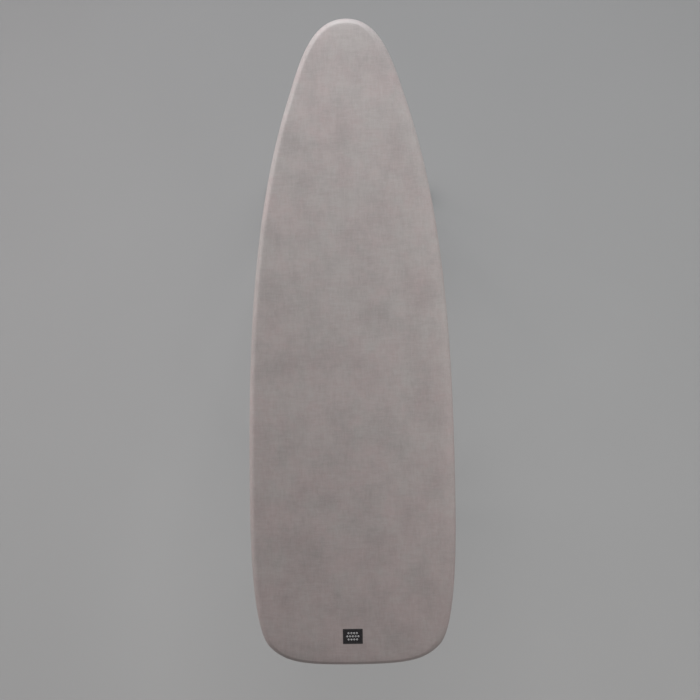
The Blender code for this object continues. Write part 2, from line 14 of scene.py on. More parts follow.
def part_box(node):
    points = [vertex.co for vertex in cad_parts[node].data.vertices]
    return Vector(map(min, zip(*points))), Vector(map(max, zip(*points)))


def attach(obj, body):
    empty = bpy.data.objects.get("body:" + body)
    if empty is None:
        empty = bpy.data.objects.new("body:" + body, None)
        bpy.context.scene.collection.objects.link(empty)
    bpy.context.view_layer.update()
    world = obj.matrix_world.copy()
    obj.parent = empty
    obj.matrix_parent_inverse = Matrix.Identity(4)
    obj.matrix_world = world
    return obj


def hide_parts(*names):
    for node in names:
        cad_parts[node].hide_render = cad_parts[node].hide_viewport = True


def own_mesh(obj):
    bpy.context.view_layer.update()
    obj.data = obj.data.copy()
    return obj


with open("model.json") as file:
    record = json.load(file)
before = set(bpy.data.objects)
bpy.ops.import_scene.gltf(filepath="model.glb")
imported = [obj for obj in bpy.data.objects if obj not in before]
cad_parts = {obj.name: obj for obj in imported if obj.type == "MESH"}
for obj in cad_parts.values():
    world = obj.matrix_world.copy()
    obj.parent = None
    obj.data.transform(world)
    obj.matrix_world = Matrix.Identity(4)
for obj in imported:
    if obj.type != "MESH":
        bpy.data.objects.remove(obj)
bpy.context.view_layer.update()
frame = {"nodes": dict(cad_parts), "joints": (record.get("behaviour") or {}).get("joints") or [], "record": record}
NODES = frame["nodes"]
SLOT_OF = {row["node"]: row["material_slot"] for row in frame["record"]["subparts"]}

MM = 0.001

# ---------------------------------------------------------------- places read from the frame

COVER_LOW, COVER_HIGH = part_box("cover")
LENGTH = COVER_HIGH.y - COVER_LOW.y
TOP = COVER_HIGH.z
FLANGE = COVER_LOW.z                      # underside of the cover's turned-in flange
TRAY_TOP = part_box("mesh_top")[1].z
CORD_LOW, CORD_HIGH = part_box("hem_cord")
CORD_Z = (CORD_LOW.z + CORD_HIGH.z) / 2
LABEL_LOW, LABEL_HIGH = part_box("cover_label")
LABEL_X, LABEL_Y = (LABEL_LOW.x + LABEL_HIGH.x) / 2, (LABEL_LOW.y + LABEL_HIGH.y) / 2
PIVOT = Vector(next(joint["pos_m"] for joint in frame["joints"] if joint["name"] == "leg_fold"))

# Half outline of the board, from the nose to the square end, as in the CAD model: half width,
# distance from the nose, heading in degrees, reach of the curve before and after the point.
OUTLINE = (
    (0.0000, 0.000, 90, 0.000, 0.074),
    (0.1230, 0.168, 18, 0.083, 0.257),
    (0.2150, 1.020, 0, 0.321, 0.129),
    (0.1775, 1.311, -44, 0.043, 0.046),
    (0.0000, 1.350, -90, 0.109, 0.000),
)

# Cover
AROUND = 1250                             # points round the board
CLOTH = 0.9 * MM
EDGE_WIDTH = 11 * MM                      # padded edge of the ironing surface, seen from above
EDGE_NOSE = 1.5 * MM                      # how much wider it is at the nose
EDGE_SOFT = 24 * MM                       # and on the right, where the pad lies short
EDGE_TAIL = -3.5 * MM                     # and at the square end, where the cloth is pulled hardest
EDGE_DROP = 12 * MM                       # how far down it turns
EDGE_BEVEL = 1.2                          # 1 for a quarter ellipse, more for a flatter slope
EDGE_WINDOW = 45                          # points of the outline over which its width is averaged
EDGE_ROWS = 13
HEM_INSET = 34 * MM                       # cover's edge to the drawcord
CASING_RADIUS = 3.1 * MM
SEAM_INSET = 27.5 * MM                    # cover's edge to the casing's stitching
CASING_GAP = 13 * MM                      # half of the gap in the casing, in the middle of the square end
GATHER_PITCH = 13 * MM
TURN_WINDOW = 25                          # points over which the outline's turning is averaged
TOP_ROWS = 48
PAD_ROWS = 30
EYE = 0.006                               # smallest loop in the middle of the top, as a share of the outline


# ---------------------------------------------------------------- the board's outline

def outline(count):
    """Evenly spaced points round the board, clockwise from the nose, and the inward direction at each."""
    right = []
    for first, second in zip(OUTLINE, OUTLINE[1:]):
        ends = []
        for (x, run, heading, before, after), reach in ((first, first[4]), (second, -second[3])):
            place = np.array((x, LENGTH / 2 - run))
            along = np.array((math.sin(math.radians(heading)), -math.cos(math.radians(heading))))
            ends.append((place, place + reach * along))
        (start, leave), (end, arrive) = ends
        for t in np.linspace(0, 1, 400, endpoint=False):
            right.append((1 - t) ** 3 * start + 3 * t * (1 - t) ** 2 * leave
                         + 3 * t * t * (1 - t) * arrive + t ** 3 * end)
    right = np.array(right + [end])
    loop = np.vstack((right, right[-2::-1] * (-1, 1)))
    run = np.concatenate(((0,), np.cumsum(np.linalg.norm(np.diff(loop, axis=0), axis=1))))
    even = np.linspace(0, run[-1], count, endpoint=False)
    points = np.column_stack([np.interp(even, run, loop[:, axis]) for axis in (0, 1)])
    along = np.roll(points, -1, axis=0) - np.roll(points, 1, axis=0)
    along /= np.linalg.norm(along, axis=1)[:, None]
    return points, np.column_stack((along[:, 1], -along[:, 0])), run[-1]


EDGE, INWARD, PERIMETER = outline(AROUND)


def smoothed(values, window):
    """Values at the outline's points, averaged along the edge."""
    weights = np.hanning(window)
    padded = np.concatenate((values[-window:], values, values[:window]))
    return np.convolve(padded, weights / weights.sum(), "same")[window:-window]


def turning():
    """How sharply the outline turns at each point, per metre."""
    angle = np.unwrap(np.arctan2(INWARD[:, 1], INWARD[:, 0]))
    return smoothed(np.abs(np.gradient(angle)) * AROUND / PERIMETER, TURN_WINDOW)


def inset_loop(distance, height, every=1):
    """The outline moved inwards, at a height. Both may vary round the board."""
    spot = EDGE + INWARD * np.reshape(distance, (-1, 1))
    loop = np.column_stack((spot, np.broadcast_to(height, (AROUND,))))
    return loop[::every]


# ---------------------------------------------------------------- meshes

def add_piece(name, mesh, material, body, replaced=()):
    """A shown piece that rides on a body, in a material."""
    made = bpy.data.objects.new(name, mesh)
    bpy.context.scene.collection.objects.link(made)
    mesh.materials.append(material)
    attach(made, body)
    if replaced:
        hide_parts(*replaced)
    return made


def mesh_from(name, points, faces):
    """A smooth mesh from points and faces."""
    mesh = bpy.data.meshes.new(name)
    mesh.from_pydata([tuple(point) for point in points], [], faces)
    mesh.validate()
    mesh.shade_smooth()
    return mesh


def skin(name, rows, joined=False, capped=False):
    """A mesh through equal closed loops. The last is joined to the first, or both are capped."""
    rows = [np.asarray(row) for row in rows]
    count = len(rows[0])
    pairs = list(zip(range(len(rows)), range(1, len(rows))))
    if joined:
        pairs.append((len(rows) - 1, 0))
    faces = []
    for upper, lower in pairs:
        for k in range(count):
            j = (k + 1) % count
            faces.append((upper * count + k, upper * count + j, lower * count + j, lower * count + k))
    if capped:
        faces.append(tuple(range(count - 1, -1, -1)))
        faces.append(tuple((len(rows) - 1) * count + k for k in range(count)))
    made = mesh_from(name, np.vstack(rows), faces)
    outward(made)
    return made


def outward(mesh):
    """Face every closed shell of a mesh outwards."""
    work = bmesh.new()
    work.from_mesh(mesh)
    bmesh.ops.recalc_face_normals(work, faces=work.faces)
    work.to_mesh(mesh)
    work.free()


def sharpen(mesh, degrees=40):
    """Mark the edges that turn more than this as sharp."""
    mesh.set_sharp_from_angle(angle=math.radians(degrees))


def join_meshes(name, meshes):
    """One mesh from several."""
    work = bmesh.new()
    for mesh in meshes:
        work.from_mesh(mesh)
        bpy.data.meshes.remove(mesh)
    made = bpy.data.meshes.new(name)
    work.to_mesh(made)
    work.free()
    made.shade_smooth()
    return made


def sides_of(along):
    """Two unit vectors square to a direction."""
    along = Vector(along).normalized()
    helper = Vector((1, 0, 0)) if abs(along.x) < 0.9 else Vector((0, 1, 0))
    first = along.cross(helper).normalized()
    return first, along.cross(first)


def circle(centre, along, radius, count):
    """Points on a circle square to a direction."""
    first, second = sides_of(along)
    return [Vector(centre) + float(radius) * (math.cos(a) * first + math.sin(a) * second)
            for a in np.linspace(0, 2 * math.pi, count, endpoint=False)]


def turned(name, origin, along, profile, count=48, joined=False):
    """A (distance along, radius) profile turned about a line."""
    along = Vector(along).normalized()
    rows = [circle(Vector(origin) + run * along, along, radius, count) for run, radius in profile]
    mesh = skin(name, rows, joined=joined, capped=not joined)
    sharpen(mesh)
    return mesh


def pipe(name, path, radius, count=12, closed=False):
    """A round strand along a path. Its radius may vary along it."""
    path = [Vector(point) for point in path]
    radii = np.broadcast_to(radius, (len(path),)).tolist()
    steps = len(path)
    rows = []
    first = None
    for k, here in enumerate(path):
        before = path[k - 1] if closed or k else here
        after = path[(k + 1) % steps] if closed or k < steps - 1 else here
        along = (after - before).normalized()
        if first is None:
            first, _ = sides_of(along)
        first = (first - along * first.dot(along)).normalized()
        second = along.cross(first)
        rows.append([here + radii[k] * (math.cos(a) * first + math.sin(a) * second)
                     for a in np.linspace(0, 2 * math.pi, count, endpoint=False)])
    if not closed:
        return skin(name, rows, capped=True)
    drift = min(range(count), key=lambda shift: (Vector(rows[-1][0]) - Vector(rows[0][shift])).length)
    rows[0] = rows[0][drift:] + rows[0][:drift]
    if drift:
        rows = rows[1:] + [rows[0]]
    return skin(name, rows, joined=True)


def weld_bead(name, path, radius=1.3 * MM, closed=False):
    """A rippled weld bead."""
    path = [Vector(point) for point in path]
    ripple = [radius * (1 + 0.16 * math.sin(2.1 * k) + 0.08 * noise.noise(point * 400))
              for k, point in enumerate(path)]
    return pipe(name, path, ripple, 8, closed)


# ---------------------------------------------------------------- materials

class Surface:
    """A Principled material with short-hand for its nodes. Patterns use the object's own metres."""

    def __init__(self, name, constants):
        self.material = bpy.data.materials.new(name)
        self.material.use_nodes = True
        self.tree = self.material.node_tree
        self.shader = self.tree.nodes["Principled BSDF"]
        self.space = self.tree.nodes.new("ShaderNodeTexCoord").outputs["Object"]
        for socket, value in constants.items():
            self.shader.inputs[socket].default_value = value

    def node(self, kind, inputs, **settings):
        made = self.tree.nodes.new(kind)
        for name, value in settings.items():
            setattr(made, name, value)
        for socket, value in inputs.items():
            if isinstance(value, bpy.types.NodeSocket):
                self.tree.links.new(value, made.inputs[socket])
            else:
                made.inputs[socket].default_value = value
        return made

    def math(self, operation, first, second=0.0, third=0.0):
        return self.node("ShaderNodeMath", {0: first, 1: second, 2: third}, operation=operation).outputs[0]

    def axis(self, name):
        return self.node("ShaderNodeSeparateXYZ", {0: self.space}).outputs[name]

    def noise(self, scale, detail=2.0, stretch=(1, 1, 1), roughness=0.5):
        """Noise of about one wave in 1 / scale metres, longer where stretch is small."""
        place = self.node("ShaderNodeMapping", {"Vector": self.space, "Scale": stretch}).outputs[0]
        return self.node("ShaderNodeTexNoise", {
            "Vector": place, "Scale": scale, "Detail": detail, "Roughness": roughness}).outputs[0]

    def waves(self, along, pitch):
        """A sine along an axis or a distance, from -1 to 1."""
        along = self.axis(along) if isinstance(along, str) else along
        return self.math("SINE", self.math("MULTIPLY", along, 2 * math.pi / pitch))

    def ramp(self, factor, low, high, start=0.0, end=1.0):
        """A number moved from one range to another, held at its ends."""
        return self.node("ShaderNodeMapRange", {
            "Value": factor, "From Min": low, "From Max": high, "To Min": start, "To Max": end}).outputs[0]

    def blend(self, factor, first, second):
        """Colours as (r, g, b), or sockets."""
        made = self.tree.nodes.new("ShaderNodeMix")
        made.data_type = "RGBA"
        for socket, value in ((made.inputs[0], factor), (made.inputs[6], first), (made.inputs[7], second)):
            if isinstance(value, bpy.types.NodeSocket):
                self.tree.links.new(value, socket)
            else:
                socket.default_value = (*value, 1) if isinstance(value, tuple) else value
        return made.outputs[2]

    def bump(self, height, distance, under=None):
        inputs = {"Height": height, "Distance": distance, "Strength": 1.0}
        if under is not None:
            inputs["Normal"] = under
        return self.node("ShaderNodeBump", inputs).outputs[0]

    def link(self, socket, value):
        self.tree.links.new(value, self.shader.inputs[socket])


def cover_cloth():
    """Metallised cotton: a satin plain weave with slubs, softly blotched in warm and cool grey."""
    s = Surface("cover_cloth", {"Metallic": 0.12, "Sheen Weight": 0.14, "Sheen Roughness": 0.5,
                                "Specular IOR Level": 0.25})
    # The worn tone is no wear: it is the darker tone that the painted shade patches and the darker yarns blend
    # towards.
    warm, cool, worn = (0.350, 0.289, 0.280), (0.331, 0.303, 0.290), (0.212, 0.185, 0.179)
    pale_slub = (0.45, 0.41, 0.40)
    blotches = s.math("ADD", s.math("MULTIPLY", s.noise(12, 4, roughness=0.6), 0.6),
                      s.math("MULTIPLY", s.noise(45, 3, roughness=0.65), 0.4))
    # Painted light: the cloth is tinted cooler towards the nose and warmer towards the square end, for the tint
    # the lights give it there.
    blotches = s.math("SUBTRACT", blotches, s.ramp(s.axis("Y"), 0.10, -0.60, -0.06, 0.10))
    cloth = s.blend(s.ramp(blotches, 0.37, 0.63), warm, cool)
    # Painted shade: broad soft patches darkened towards the worn tone, as the pad's shallow hollows would shade
    # the cloth.
    shade = s.ramp(s.noise(16, 4, (1, 0.8, 1), 0.6), 0.42, 0.68)
    cloth = s.blend(s.math("MULTIPLY", shade, 0.36), cloth, worn)
    yarns = s.math("ADD", s.noise(130, 3, (1, 0.25, 1), 0.65), s.noise(130, 3, (0.25, 1, 1), 0.65))
    cloth = s.blend(s.ramp(yarns, 0.85, 1.15, 0.0, 0.17), cloth, worn)
    slubs = s.math("ADD", s.noise(420, 2, (1, 0.16, 1)), s.noise(420, 2, (0.16, 1, 1)))
    cloth = s.blend(s.ramp(slubs, 0.8, 1.25, 0.0, 0.19), cloth, pale_slub)
    s.link("Base Color", cloth)
    s.link("Roughness", s.ramp(slubs, 0.7, 1.3, 0.50, 0.66))
    weave = s.math("MULTIPLY", s.waves(s.math("ADD", s.axis("X"), s.axis("Z")), 1.1 * MM),
                   s.waves(s.math("ADD", s.axis("Y"), s.axis("Z")), 1.1 * MM))
    relief = s.math("ADD", s.math("MULTIPLY", weave, 0.35), slubs)
    s.link("Normal", s.bump(relief, 0.10 * MM))
    return s.material


def label_cloth():
    """Black label cloth, ribbed by its weave."""
    s = Surface("label_cloth", {"Sheen Weight": 0.05, "Specular IOR Level": 0.25})
    ribs = s.waves("Y", 0.7 * MM)
    black, faded = (0.012, 0.011, 0.012), (0.024, 0.021, 0.023)
    s.link("Base Color", s.blend(s.ramp(s.noise(900, 2), 0.3, 0.7), black, faded))
    s.link("Roughness", s.ramp(ribs, -1, 1, 0.62, 0.80))
    weave = s.math("ADD", ribs, s.math("MULTIPLY", s.waves("X", 0.5 * MM), 0.5))
    s.link("Normal", s.bump(weave, 0.05 * MM))
    return s.material


def thread(name, colour, twist=0.9 * MM):
    """Twisted sewing thread or braided cord."""
    s = Surface(name, {"Sheen Weight": 0.25})
    slant = s.math("ADD", s.math("ADD", s.axis("X"), s.axis("Y")), s.math("MULTIPLY", s.axis("Z"), 2.0))
    ply = s.math("SINE", s.math("MULTIPLY", slant, 2 * math.pi / twist))
    # Painted shade: the thread is darker in the grooves between its plies, where the bump is lowest.
    dark = tuple(0.7 * part for part in colour)
    s.link("Base Color", s.blend(s.ramp(ply, -1, 1), dark, colour))
    s.link("Roughness", s.ramp(ply, -1, 1, 0.75, 0.55))
    s.link("Normal", s.bump(ply, 0.12 * MM))
    return s.material


def felt():
    """Needled felt: short fibres in off-white and grey."""
    s = Surface("felt", {"Roughness": 0.95, "Sheen Weight": 0.4, "Sheen Roughness": 0.6})
    fibres = s.math("MAXIMUM", s.noise(700, 3, (1, 0.12, 1)), s.noise(700, 3, (0.12, 1, 1)))
    s.link("Base Color", s.blend(s.ramp(fibres, 0.45, 0.7), (0.50, 0.48, 0.45), (0.68, 0.66, 0.62)))
    s.link("Normal", s.bump(s.math("ADD", fibres, s.noise(90, 2)), 0.4 * MM))
    return s.material


def powder_coat(name, colour, bare):
    """Satin powder coat with orange peel. Steel shows through where bare, made from the surface, is 1."""
    s = Surface(name, {"Coat Weight": 0.15, "Coat Roughness": 0.25})
    peel = s.noise(650, 2)
    chips = bare(s)
    tint = s.blend(s.ramp(s.noise(18, 3), 0.3, 0.7), colour, tuple(0.90 * part for part in colour))
    s.link("Base Color", s.blend(chips, tint, (0.40, 0.40, 0.41)))
    s.link("Metallic", s.ramp(chips, 0, 1, 0.25, 1.0))
    s.link("Roughness", s.math("ADD", s.ramp(peel, 0.3, 0.7, 0.34, 0.46), s.math("MULTIPLY", chips, -0.08)))
    s.link("Normal", s.bump(peel, 0.06 * MM))
    return s.material


def edge_chips(s):
    """Small chips on sharp edges."""
    edge = s.node("ShaderNodeNewGeometry", {}).outputs["Pointiness"]
    return s.math("MULTIPLY", s.ramp(edge, 0.57, 0.64), s.ramp(s.noise(240, 4), 0.58, 0.64))


def floor_scuffs(s):
    """Fine scuffs, only close to the floor."""
    near = s.ramp(s.axis("Z"), 0.16, 0.01)
    return s.math("MULTIPLY", near, s.ramp(s.noise(380, 3, (0.25, 1, 1)), 0.66, 0.71))


def slot_rub(s):
    """Bright streaks along the slot's lower edge, where the slide bar runs."""
    lower_edge, spread = PIVOT.z - 6 * MM, 2.5 * MM
    off = s.math("ABSOLUTE", s.math("SUBTRACT", s.axis("Z"), lower_edge))
    band = s.math("SUBTRACT", 1.0, s.math("MULTIPLY", off, 1 / spread))
    behind = s.ramp(s.axis("Y"), -0.21, -0.26)
    streaks = s.ramp(s.noise(420, 3, (1, 0.08, 1)), 0.42, 0.58)
    rub = s.math("MULTIPLY", s.math("MULTIPLY", s.ramp(band, 0, 0.6), behind), streaks)
    return s.math("MAXIMUM", rub, edge_chips(s))


def zinc():
    """Zinc-plated steel with fine drawn lines and a faint yellow bloom."""
    s = Surface("zinc", {"Metallic": 1.0})
    lines = s.noise(1500, 2, (0.04, 0.04, 1))
    bloom = s.ramp(s.noise(60, 3), 0.35, 0.7)
    s.link("Base Color", s.blend(bloom, (0.60, 0.61, 0.63), (0.56, 0.55, 0.50)))
    s.link("Roughness", s.math("ADD", s.ramp(lines, 0.3, 0.7, 0.24, 0.36), s.math("MULTIPLY", bloom, 0.06)))
    s.link("Normal", s.bump(lines, 0.02 * MM))
    return s.material


def spring_steel():
    """Dark oiled wire."""
    s = Surface("spring_steel", {"Metallic": 1.0})
    stain = s.ramp(s.noise(300, 3), 0.35, 0.65)
    s.link("Base Color", s.blend(stain, (0.30, 0.30, 0.31), (0.44, 0.43, 0.42)))
    s.link("Roughness", s.ramp(stain, 0, 1, 0.26, 0.42))
    return s.material


def black_plastic():
    """Moulded polypropylene: a fine spark texture, a little greyer where it is handled."""
    s = Surface("black_plastic", {"Specular IOR Level": 0.45})
    grain = s.noise(1400, 2)
    worn = s.ramp(s.noise(45, 3), 0.45, 0.75)
    s.link("Base Color", s.blend(worn, (0.030, 0.031, 0.033), (0.050, 0.051, 0.053)))
    s.link("Roughness", s.math("ADD", s.ramp(grain, 0.3, 0.7, 0.42, 0.55), s.math("MULTIPLY", worn, 0.06)))
    s.link("Normal", s.bump(grain, 0.05 * MM))
    return s.material


# Painted warm tint that offsets the cool tint of the key light on the floor.
FLOOR_WARM_WHITE = (1.0, 0.993, 0.982)


def studio_floor():
    """Seamless floor, painted paler away from the lights and far off, and a little warm, so that it
    looks one even grey from above."""
    s = Surface("studio_floor", {"Roughness": 0.9, "Specular IOR Level": 0.15})
    across, along = (s.ramp(s.axis(axis), -1, 1, -1, 1) for axis in "XY")
    far = s.math("ADD", s.math("MULTIPLY", across, across), s.math("MULTIPLY", along, along))
    shade = s.math("ADD", s.math("MULTIPLY", across, 0.030), s.math("MULTIPLY", along, -0.124))
    shade = s.math("ADD", shade, s.math("MULTIPLY", far, 0.033))
    shade = s.math("ADD", shade, s.ramp(s.noise(2.5, 3), 0.2, 0.8, 0.321, 0.329))
    # Painted light: paler still far off, where little light reaches.
    square = s.math("ADD", s.math("POWER", s.axis("X"), 2.0), s.math("POWER", s.axis("Y"), 2.0))
    away = s.math("SQRT", square)
    shade = s.math("MINIMUM", s.math("ADD", shade, s.ramp(away, 1.3, 3.2, 0, 0.5)), 0.78)
    s.link("Base Color", s.blend(shade, (0.0, 0.0, 0.0), FLOOR_WARM_WHITE))
    return s.material


FRAME_GREY = (0.50, 0.51, 0.52)
LEG_GREY = (0.56, 0.57, 0.58)
MATERIALS = {
    "cover_fabric": cover_cloth(),
    "label_fabric": label_cloth(),
    "hem_cord": thread("drawcord", (0.60, 0.58, 0.55), 3 * MM),
    "pad_felt": felt(),
    "mesh_paint": powder_coat("mesh_paint", FRAME_GREY, edge_chips),
    "frame_paint": powder_coat("frame_paint", FRAME_GREY, edge_chips),
    "leg_paint": powder_coat("leg_paint", LEG_GREY, floor_scuffs),
    "zinc": zinc(),
    "spring_steel": spring_steel(),
    "black_plastic": black_plastic(),
}
RAIL_PAINT = powder_coat("rail_paint", FRAME_GREY, slot_rub)
SEWING_THREAD = thread("sewing_thread", (0.46, 0.43, 0.41))
LABEL_THREAD = thread("label_thread", (0.50, 0.49, 0.49), 0.5 * MM)
DARK_THREAD = thread("dark_thread", (0.05, 0.05, 0.052), 0.5 * MM)


# ---------------------------------------------------------------- the cover

def gathers():
    """Folds that the drawcord pulls into the hem, from 0 to 1, deeper where the outline turns."""
    step = PERIMETER / AROUND
    pace = np.array([1 + 0.5 * noise.noise((k * step * 22, 3.1, 0)) for k in range(AROUND)])
    folds = round(PERIMETER / GATHER_PITCH)
    phase = np.cumsum(pace)
    phase *= folds * math.pi / phase[-1]
    wave = 1 - np.abs(np.sin(phase))
    depth = np.array([0.75 + 0.5 * noise.noise((k * step * 30, 8.7, 2)) for k in range(AROUND)])
    return wave * depth * np.clip(0.35 + turning() / 14, 0.35, 1.0)


GATHERS = gathers()
SHOULDER = smoothed(EDGE_WIDTH + EDGE_SOFT * np.clip(-INWARD[:, 0], 0, 1) ** 8
                    + EDGE_NOSE * np.clip(-INWARD[:, 1], 0, 1) ** 2
                    + EDGE_TAIL * np.clip(INWARD[:, 1], 0, 1) ** 2, EDGE_WINDOW)


def top_relief(x, y):
    """How far the ironing surface lies below its top: soft hollows left in the pad by use."""
    calm = min(1.0, max(0.0, (math.hypot(x - LABEL_X, y - LABEL_Y) - 30 * MM) / (50 * MM)))
    broad = noise.noise((x * 6.5, y * 4.5, 1.3))
    small = noise.noise((x * 19, y * 14, 5.2))
    return calm * (0.42 * MM * (1 + broad) + 0.10 * MM * (1 + small))


def cover_rows():
    """Loops of the cover's outer face, from the middle of its top to the stitching of its hem."""
    rows = []
    shoulder = inset_loop(SHOULDER, TOP)
    for share in np.linspace(EYE, 1, TOP_ROWS)[:-1]:
        rows.append(shoulder * (share, share, 1))
    for angle in np.radians(np.linspace(0, 90, EDGE_ROWS)):
        rows.append(inset_loop(SHOULDER * (1 - math.sin(angle) ** EDGE_BEVEL),
                               TOP - EDGE_DROP * (1 - math.cos(angle) ** EDGE_BEVEL)))
    turn = FLANGE + 5.8 * MM
    for share in (0.3, 0.65, 1.0):
        ripple = 0.45 * MM * share * GATHERS
        height = TOP - EDGE_DROP + share * (turn - TOP + EDGE_DROP)
        rows.append(inset_loop(1.6 * MM * share + ripple, height))
    for distance, rise, pull in ((2.0, 3.4, 0.15), (3.2, 1.5, 0.3), (5.6, 0.2, 0.45), (9.5, 0, 0.7),
                                 (14, 0, 0.9), (19, 0, 1.0), (23.5, 0, 1.0)):
        rows.append(inset_loop(distance * MM, FLANGE + rise * MM - 1.7 * MM * pull * GATHERS))
    seam_drop = 0.9 * MM * GATHERS
    rows.append(inset_loop(SEAM_INSET, FLANGE + 0.5 * MM - seam_drop))
    shut = np.clip((CASING_GAP - np.abs(EDGE[:, 0])) / (3 * MM), 0, 1) * (EDGE[:, 1] < 0)
    swell = (CASING_RADIUS * (1 + 0.22 * GATHERS)) * (1 - shut) + 0.7 * MM * shut
    middle = HEM_INSET * (1 - shut) + (SEAM_INSET + 1.6 * MM) * shut
    for angle in np.radians(np.linspace(215, 505, 12)):
        rows.append(inset_loop(middle + swell * math.cos(angle),
                               CORD_Z + swell * math.sin(angle) - 0.5 * seam_drop))
    rows.append(inset_loop(SEAM_INSET + 0.4 * MM, FLANGE + 1.3 * MM - seam_drop))
    rows.append(inset_loop(SEAM_INSET - 3 * MM, FLANGE + 1.2 * MM - seam_drop))
    return rows


def make_cover():
    """Fitted cover in one cloth: top, padded edge, side, gathered flange and the casing of the drawcord."""
    rows = cover_rows()
    points = np.vstack(rows)
    for point in points[:AROUND * (TOP_ROWS - 1 + EDGE_ROWS)]:
        share = min(1.0, max(0.0, (point[2] - TOP + EDGE_DROP) / EDGE_DROP))
        point[2] -= share * top_relief(point[0], point[1])
    points[:AROUND, 2] = points[:AROUND, 2].mean()
    faces = [(row * AROUND + k, row * AROUND + (k + 1) % AROUND,
              (row + 1) * AROUND + (k + 1) % AROUND, (row + 1) * AROUND + k)
             for row in range(len(rows) - 1) for k in range(AROUND)]
    faces.append(tuple(range(AROUND)))
    mesh = mesh_from("cover", points, faces)
    outward(mesh)
    cover = add_piece("cover_cloth", mesh, MATERIALS["cover_fabric"], "board", ["cover"])
    solid = cover.modifiers.new("cloth", "SOLIDIFY")
    solid.thickness = CLOTH
    solid.offset = -1
    return cover


def make_pad():
    """Felt pad with a soft edge, just inside the cover."""
    under = TRAY_TOP + 0.3 * MM
    top = TOP - CLOTH - 1.5 * MM
    wide, deep = SHOULDER - CLOTH - 0.6 * MM, EDGE_DROP - 0.4 * MM
    every = 5
    rows = []
    shoulder = inset_loop(SHOULDER, top, every)
    for share in np.linspace(EYE, 1, PAD_ROWS)[:-1]:
        rows.append(shoulder * (share, share, 1))
    lowest = math.acos(max(-1.0, 1 - (top - under) / deep))
    for angle in np.linspace(0, lowest, 6):
        height = top - deep * (1 - math.cos(angle))
        rows.append(inset_loop(SHOULDER - wide * math.sin(angle), height, every))
    for row in rows[1:PAD_ROWS - 1]:
        for point in row:
            point[2] -= 0.25 * MM * (1 + noise.noise((point[0] * 30, point[1] * 30, 4.4)))
    rows += [rows[-1] * (share, share, 1) for share in np.linspace(1, EYE, 12)[1:]]
    mesh = skin("pad", rows, capped=True)
    return add_piece("felt_pad", mesh, MATERIALS["pad_felt"], "board", ["ironing_pad"])


def make_drawcord():
    """Round braided cord inside the casing. Its ends are knotted in the casing's gap."""
    radius = (CORD_HIGH.z - CORD_LOW.z) / 2
    made = [pipe("cord", inset_loop(HEM_INSET, CORD_Z, 5), radius, 10, closed=True)]
    middle = Vector((0, CORD_LOW.y + radius, CORD_Z - 2.2 * radius))
    knot = [middle + 1.25 * radius * Vector((math.sin(a) + 2 * math.sin(2 * a), -1.2 * math.sin(3 * a),
                                             math.cos(a) - 2 * math.cos(2 * a)))
            for a in np.linspace(0, 2 * math.pi, 72, endpoint=False)]
    made.append(pipe("knot", knot, 0.85 * radius, 10, closed=True))
    for side in (-1, 1):
        run = np.linspace(0, 1, 14)
        tail = [middle + Vector((side * (2 + 20 * t) * MM, 3 * MM * math.sin(2.5 * t),
                                 (2.5 * math.sin(3 * t) - 13 * t * t) * MM)) for t in run]
        made.append(pipe("tail", tail, [0.85 * radius * (1 if t < 0.9 else 1.25) for t in run], 10))
    return add_piece("drawcord", join_meshes("drawcord", made),
                     MATERIALS["hem_cord"], "board", ["hem_cord"])


def stitch(start, end, up, radius):
    """One stitch: a thread that dips into the cloth at both ends."""
    start, end, up = Vector(start), Vector(end), Vector(up)
    path = []
    for share in np.linspace(0, 1, 5):
        lift = radius * (1.9 * math.sin(math.pi * share) - 0.6)
        path.append(start.lerp(end, share) + lift * up)
    return pipe("stitch", path, radius, 6)


def make_casing_stitches():
    """Lockstitches along the casing, on the cloth's outer face."""
    every = 2
    line = inset_loop(SEAM_INSET - 1.2 * MM, FLANGE - 0.12 * MM - 1.25 * MM * GATHERS)
    stitches = []
    for k in range(0, AROUND, every):
        start, end = line[k], line[(k + every) % AROUND]
        inner = [start + share * (end - start) for share in (0.14, 0.86)]
        stitches.append(stitch(*inner, (0, 0, -1), 0.32 * MM))
    return add_piece("casing_stitches", join_meshes("casing_stitches", stitches), SEWING_THREAD,
                     "board")


# ---------------------------------------------------------------- the label

def rounded_rectangle(width, depth, radius, height, steps=5):
    """A loop with round corners about the label's middle."""
    loop = []
    for quarter, (sx, sy) in enumerate(((1, 1), (-1, 1), (-1, -1), (1, -1))):
        for angle in np.radians(np.linspace(90 * quarter, 90 * quarter + 90, steps)):
            loop.append((LABEL_X + sx * (width / 2 - radius) + radius * math.cos(angle),
                         LABEL_Y + sy * (depth / 2 - radius) + radius * math.sin(angle), height))
    return loop


